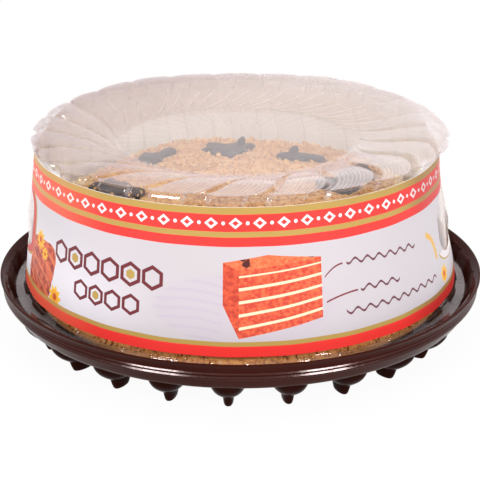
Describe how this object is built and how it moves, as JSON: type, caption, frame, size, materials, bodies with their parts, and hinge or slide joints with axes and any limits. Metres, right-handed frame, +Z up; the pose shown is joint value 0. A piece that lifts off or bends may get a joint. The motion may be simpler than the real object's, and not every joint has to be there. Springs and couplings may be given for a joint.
{
  "type": "honey cake in a retail pack",
  "caption": "Round crumb-coated honey cake with dark chocolate patches, in a brown plastic tray with small feet under a clear fluted dome with a printed paper band.",
  "frame": {"origin": "on the ground under the centre of the tray, where the feet stand", "axes": "+Z up through the middle of the tray, dome and cake; the band's printed front panel faces -Y"},
  "size_m": [0.25, 0.25, 0.1062],
  "materials": {
    "tray_plastic": "glossy dark brown moulded plastic",
    "clear_plastic": "thin clear moulded plastic, slightly hazy ribs",
    "printed_paper": "smooth printed paper band with a window on each side: white panel, red and gold edges",
    "crumb_coat": "matte honey-brown cake crumbs",
    "chocolate": "satin dark melted chocolate"
  },
  "bodies": {
    "root": {"tray_floor": "tray_plastic", "tray_rim": "tray_plastic", "tray_foot_01": "tray_plastic", "tray_foot_02": "tray_plastic", "tray_foot_03": "tray_plastic", "tray_foot_04": "tray_plastic", "tray_foot_05": "tray_plastic", "tray_foot_06": "tray_plastic", "tray_foot_07": "tray_plastic", "tray_foot_08": "tray_plastic", "tray_foot_09": "tray_plastic", "tray_foot_10": "tray_plastic", "tray_foot_11": "tray_plastic", "tray_foot_12": "tray_plastic", "tray_foot_13": "tray_plastic", "tray_foot_14": "tray_plastic", "tray_foot_15": "tray_plastic", "tray_foot_16": "tray_plastic", "tray_foot_17": "tray_plastic", "tray_foot_18": "tray_plastic", "tray_foot_19": "tray_plastic", "tray_foot_20": "tray_plastic", "tray_foot_21": "tray_plastic", "tray_foot_22": "tray_plastic", "tray_foot_23": "tray_plastic", "tray_foot_24": "tray_plastic", "dome_flange": "clear_plastic", "dome_wall_1": "clear_plastic", "dome_wall_2": "clear_plastic", "dome_wall_3": "clear_plastic", "dome_wall_4": "clear_plastic", "dome_shoulder": "clear_plastic", "dome_swirl_1": "clear_plastic", "dome_swirl_2": "clear_plastic", "dome_swirl_3": "clear_plastic", "dome_swirl_4": "clear_plastic", "dome_disc": "clear_plastic", "paper_band": "printed_paper", "cake": "crumb_coat", "choc_back_left": "chocolate", "choc_back_centre": "chocolate", "choc_back_right": "chocolate", "choc_right": "chocolate", "choc_front_right": "chocolate", "choc_front_left": "chocolate"}
  },
  "joints": []
}
